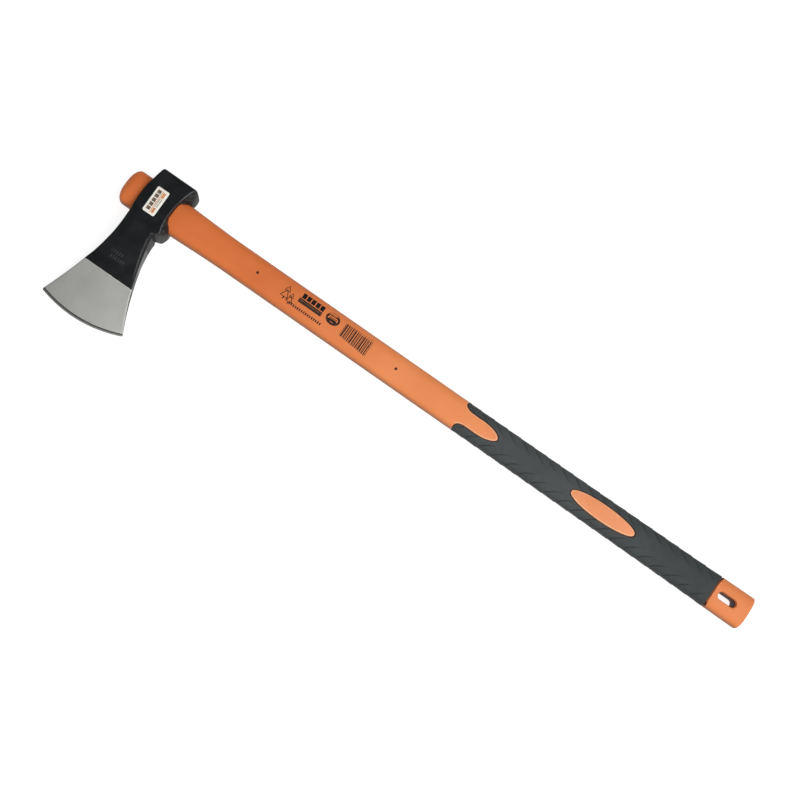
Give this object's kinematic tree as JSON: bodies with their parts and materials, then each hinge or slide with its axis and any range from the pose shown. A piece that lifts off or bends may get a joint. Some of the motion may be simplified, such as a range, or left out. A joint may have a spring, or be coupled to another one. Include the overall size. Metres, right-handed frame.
{
  "type": "felling axe",
  "caption": "Felling axe with a lacquered forged head and ground bit on a long moulded handle with an overmoulded soft grip and a hang slot.",
  "frame": {"origin": "centre of the eye, on the plane of the lower cheek", "axes": "+Y along the handle from the head to the butt, +X from the poll to the cutting edge, +Z out of the upper cheek; the axe lies on its lower cheek"},
  "size_m": [0.2037, 0.9034, 0.0503],
  "materials": {
    "head_steel": "semi-gloss black lacquer over forged steel, with the bit ground bare",
    "bond_resin": "cured resin, dark",
    "core_fibreglass": "pultruded fibreglass bar",
    "orange_plastic": "moulded polypropylene, satin",
    "grip_rubber": "thermoplastic rubber with an embossed scale pattern",
    "label_paper": "coated sticker with plain coloured bars"
  },
  "bodies": {
    "root": {"axe_head": "head_steel", "eye_bond": "bond_resin", "handle_core": "core_fibreglass", "handle_jacket": "orange_plastic", "grip_sleeve": "grip_rubber", "head_label": "label_paper"}
  },
  "joints": []
}
